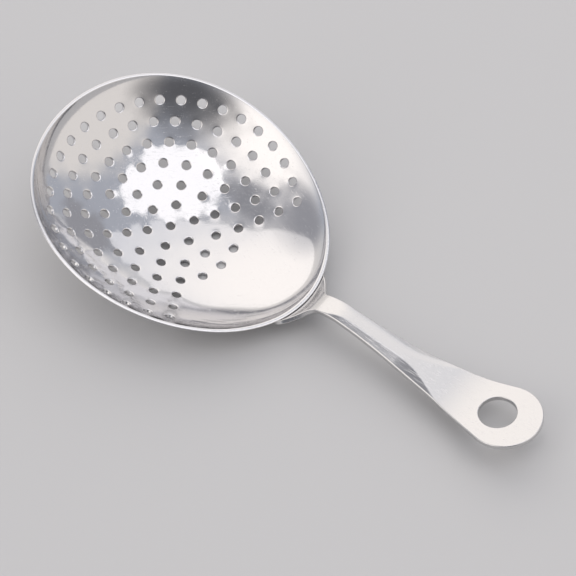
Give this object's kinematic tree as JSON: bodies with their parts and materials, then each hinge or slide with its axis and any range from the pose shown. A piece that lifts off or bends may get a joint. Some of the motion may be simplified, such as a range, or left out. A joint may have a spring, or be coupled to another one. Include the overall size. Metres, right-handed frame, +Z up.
{
  "type": "perforated ladle",
  "caption": "Shallow egg-shaped steel bowl full of round holes, with a short arched handle that widens to a round end with a hanging hole; it scoops ice and strains a drink.",
  "frame": {"origin": "middle of the base of the bounding box, on the surface that the bowl's round bottom rests on", "axes": "+X along the handle from the bowl towards the hanging hole, +Y across the bowl, +Z up out of the bowl's mouth"},
  "size_m": [0.156, 0.0756, 0.0285],
  "materials": {
    "bowl_steel": "polished stainless steel with fine scratches",
    "handle_steel": "polished stainless steel with fine scratches"
  },
  "bodies": {
    "root": {"bowl": "bowl_steel", "handle": "handle_steel"}
  },
  "joints": []
}
